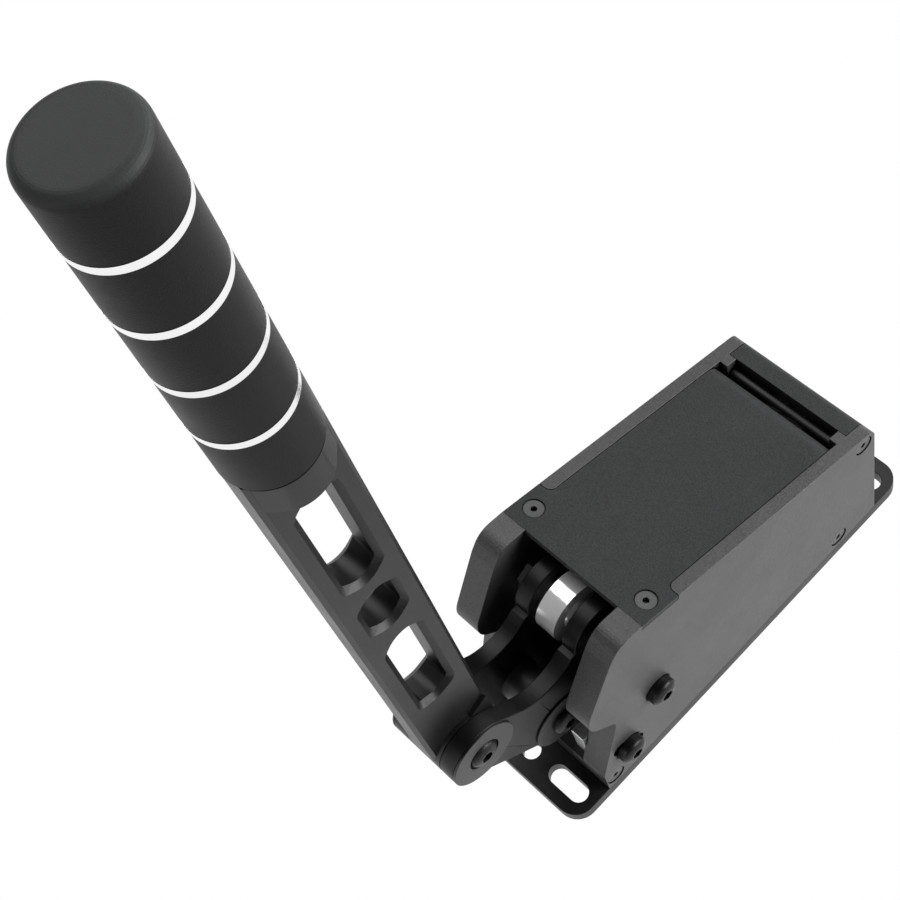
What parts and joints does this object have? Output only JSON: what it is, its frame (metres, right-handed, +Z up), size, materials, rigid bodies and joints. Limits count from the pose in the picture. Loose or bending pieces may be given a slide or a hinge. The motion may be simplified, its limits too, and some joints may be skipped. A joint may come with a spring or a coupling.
{
  "type": "sim racing handbrake",
  "caption": "Desk or rig mounted handbrake for a driving simulator: a tall lever with a ringed grip turns in a plated housing and pulls a sprung rod against a load cell.",
  "frame": {"origin": "underside of the base plate, at the centre of its slot pattern", "axes": "+Z up out of the base plate, -Y towards the lever, +X towards the side plate that the picture shows"},
  "size_m": [0.0802, 0.2276, 0.4365],
  "materials": {
    "black_anodised": "satin black anodised",
    "machined_block": "satin dark anodised",
    "bright_aluminium": "machined and polished",
    "black_oxide_steel": "black oxide, satin",
    "dark_screw": "dark plated",
    "ground_steel": "ground",
    "bright_chrome": "polished",
    "bronze": "sintered bronze",
    "acetal": "natural acetal",
    "spring_steel": "oiled spring wire",
    "black_plastic": "moulded, matte",
    "board_green": "solder mask",
    "brass_standoff": "turned"
  },
  "bodies": {
    "frame": {"base_plate": "black_anodised", "left_side_plate": "black_anodised", "right_side_plate": "black_anodised", "top_cover": "black_anodised", "cover_screws": "dark_screw", "rear_crossbar": "black_anodised", "cover_rail": "black_anodised", "rear_panel": "black_plastic", "front_cross_block": "machined_block", "rear_cross_block": "machined_block", "side_screws": "dark_screw", "base_screws": "dark_screw", "pivot_shaft": "ground_steel", "pivot_sleeves": "ground_steel", "thrust_washers": "acetal", "pivot_bolts": "black_oxide_steel", "head_washers": "black_oxide_steel", "stop_shaft": "ground_steel", "stop_blocks": "bright_aluminium", "stop_bolts": "black_oxide_steel", "load_cell": "bright_aluminium", "cell_screws": "dark_screw", "anchor_clevis": "machined_block", "anchor_pin": "ground_steel", "circuit_board": "board_green", "board_standoffs": "brass_standoff", "board_screws": "dark_screw", "data_socket": "black_plastic"},
    "lever": {"lever_arm": "black_anodised", "left_crank_plate": "black_anodised", "right_crank_plate": "black_anodised", "hub_discs": "black_anodised", "hub_bolts": "black_oxide_steel", "tie_spacer": "machined_block", "tie_discs": "black_anodised", "tie_bolts": "black_oxide_steel", "pivot_bushes": "bronze", "pivot_tube": "ground_steel", "crank_pin": "black_oxide_steel", "crank_pin_nut": "dark_screw", "pin_spacers": "ground_steel", "rod_end_ball": "ground_steel", "grip_core": "bright_aluminium", "grip_washer": "black_plastic", "grip_lower_segment": "black_anodised", "grip_segments": "black_anodised", "grip_rings": "bright_aluminium", "grip_cap": "black_anodised"},
    "barrel": {"spring": "spring_steel", "barrel": "machined_block", "barrel_front_cap": "machined_block", "barrel_rear_eye": "machined_block"},
    "rod": {"rod_end_housing": "bright_chrome", "jam_nut": "dark_screw", "pull_rod": "ground_steel", "spring_piston": "machined_block", "rod_nut": "dark_screw"}
  },
  "joints": [
    {"name": "lever_pull", "type": "hinge", "parent": "frame", "child": "lever", "pos_m": [0, -0.0452, 0.051], "axis": [1, 0, 0], "range_deg": [0, 11], "stiffness_Nm_per_rad": 30, "springref_deg": -5.73},
    {"name": "barrel_swing", "type": "hinge", "parent": "frame", "child": "barrel", "pos_m": [0, 0.0562, 0.053], "axis": [1, 0, 0], "range_deg": [0, 1.8]},
    {"name": "rod_slide", "type": "slide", "parent": "barrel", "child": "rod", "axis": [0, -0.952, 0.3062], "range_m": [0, 0.0064], "deforming": ["spring"]}
  ],
  "couplings": [
    {"joint": "barrel_swing", "follows": "lever_pull", "ratio": 0.1522},
    {"joint": "rod_slide", "follows": "lever_pull", "m_per_rad": 0.031825}
  ]
}
